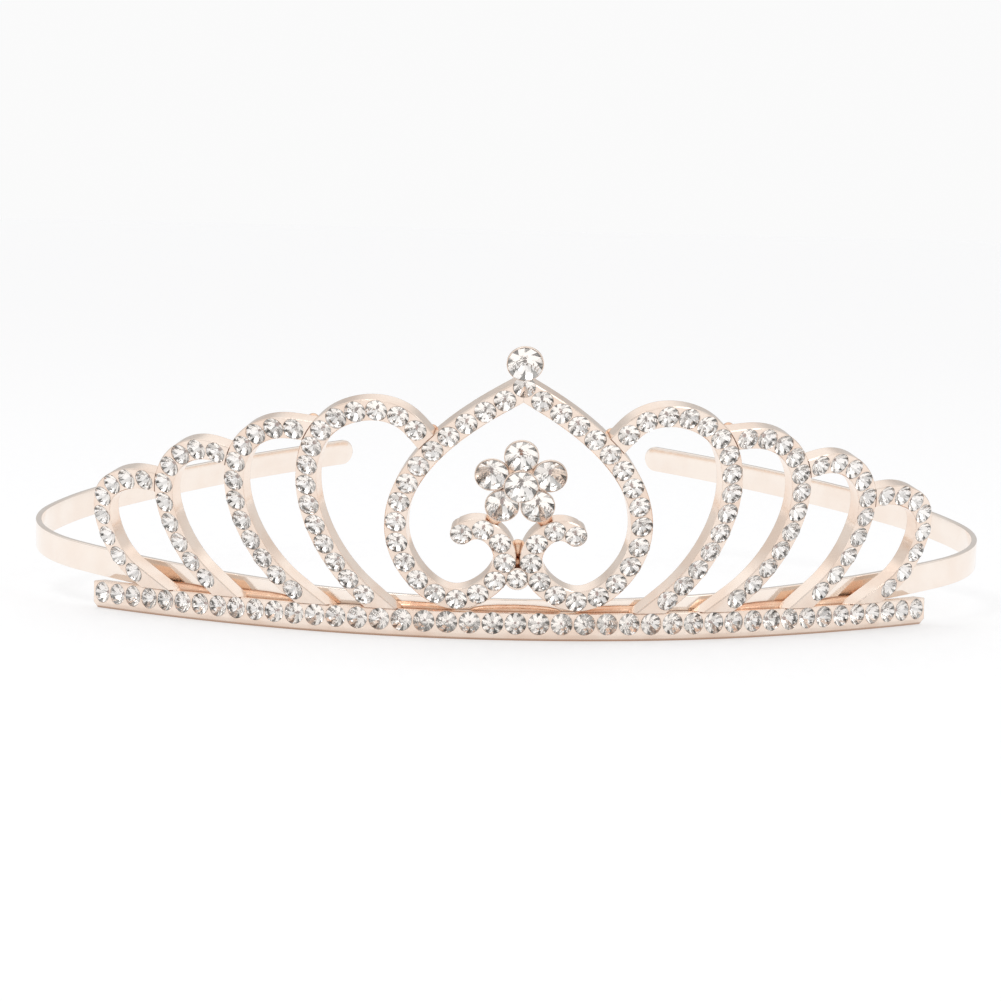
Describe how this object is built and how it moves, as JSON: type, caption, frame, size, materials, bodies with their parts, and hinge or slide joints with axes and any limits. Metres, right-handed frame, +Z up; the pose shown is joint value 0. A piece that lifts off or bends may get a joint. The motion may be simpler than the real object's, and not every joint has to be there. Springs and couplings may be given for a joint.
{
  "type": "bridal tiara",
  "caption": "Rose-gold bridal tiara: stone-set arches and a spade-shaped middle frame with a flower on a curved rail, carried by an open springy flat hoop.",
  "frame": {"origin": "middle of the narrow face under the rail that the tiara stands on, on the mirror plane", "axes": "+X to the wearer's left seen from the front (right in a front view), +Y towards the back of the head, +Z up"},
  "size_m": [0.15, 0.1439, 0.0428],
  "materials": {
    "rose_gold_setting": "polished rose-gold plate",
    "rose_gold_band": "mirror-polished rose-gold plate",
    "rose_gold_solder": "plated solder, slightly rough",
    "clear_crystal": "faceted, foil-backed clear crystal"
  },
  "bodies": {
    "tiara_front": {"base_rail": "rose_gold_setting", "arch_left_1": "rose_gold_setting", "arch_left_2": "rose_gold_setting", "arch_left_3": "rose_gold_setting", "arch_left_4": "rose_gold_setting", "arch_right_1": "rose_gold_setting", "arch_right_2": "rose_gold_setting", "arch_right_3": "rose_gold_setting", "arch_right_4": "rose_gold_setting", "spade_left": "rose_gold_setting", "spade_right": "rose_gold_setting", "bridge_cup": "rose_gold_setting", "flower_setting": "rose_gold_setting", "flower_centre_cup": "rose_gold_setting", "finial_cup": "rose_gold_setting", "rail_stones": "clear_crystal", "arch_left_1_stones": "clear_crystal", "arch_left_2_stones": "clear_crystal", "arch_left_3_stones": "clear_crystal", "arch_left_4_stones": "clear_crystal", "arch_right_1_stones": "clear_crystal", "arch_right_2_stones": "clear_crystal", "arch_right_3_stones": "clear_crystal", "arch_right_4_stones": "clear_crystal", "spade_left_stones": "clear_crystal", "spade_right_stones": "clear_crystal", "apex_stone": "clear_crystal", "bridge_stone": "clear_crystal", "petal_stones": "clear_crystal", "flower_centre_stone": "clear_crystal", "finial_stone": "clear_crystal", "foot_solder": "rose_gold_solder", "tip_solder": "rose_gold_solder", "rail_solder": "rose_gold_solder", "scroll_solder": "rose_gold_solder", "flower_solder": "rose_gold_solder", "headband_front": "rose_gold_band"},
    "hoop_arm_left": {"headband_arm_left": "rose_gold_band"},
    "hoop_arm_right": {"headband_arm_right": "rose_gold_band"}
  },
  "joints": [
    {"name": "hoop_spring_left", "type": "hinge", "parent": "tiara_front", "child": "hoop_arm_left", "pos_m": [-0.07262, 0.04373, 0.00835], "axis": [0, -0.1115, 0.9938], "range_deg": [-3, 8], "stiffness_Nm_per_rad": 0.55},
    {"name": "hoop_spring_right", "type": "hinge", "parent": "tiara_front", "child": "hoop_arm_right", "pos_m": [0.07262, 0.04373, 0.00835], "axis": [0, 0.1115, -0.9938], "range_deg": [-3, 8], "stiffness_Nm_per_rad": 0.55}
  ]
}
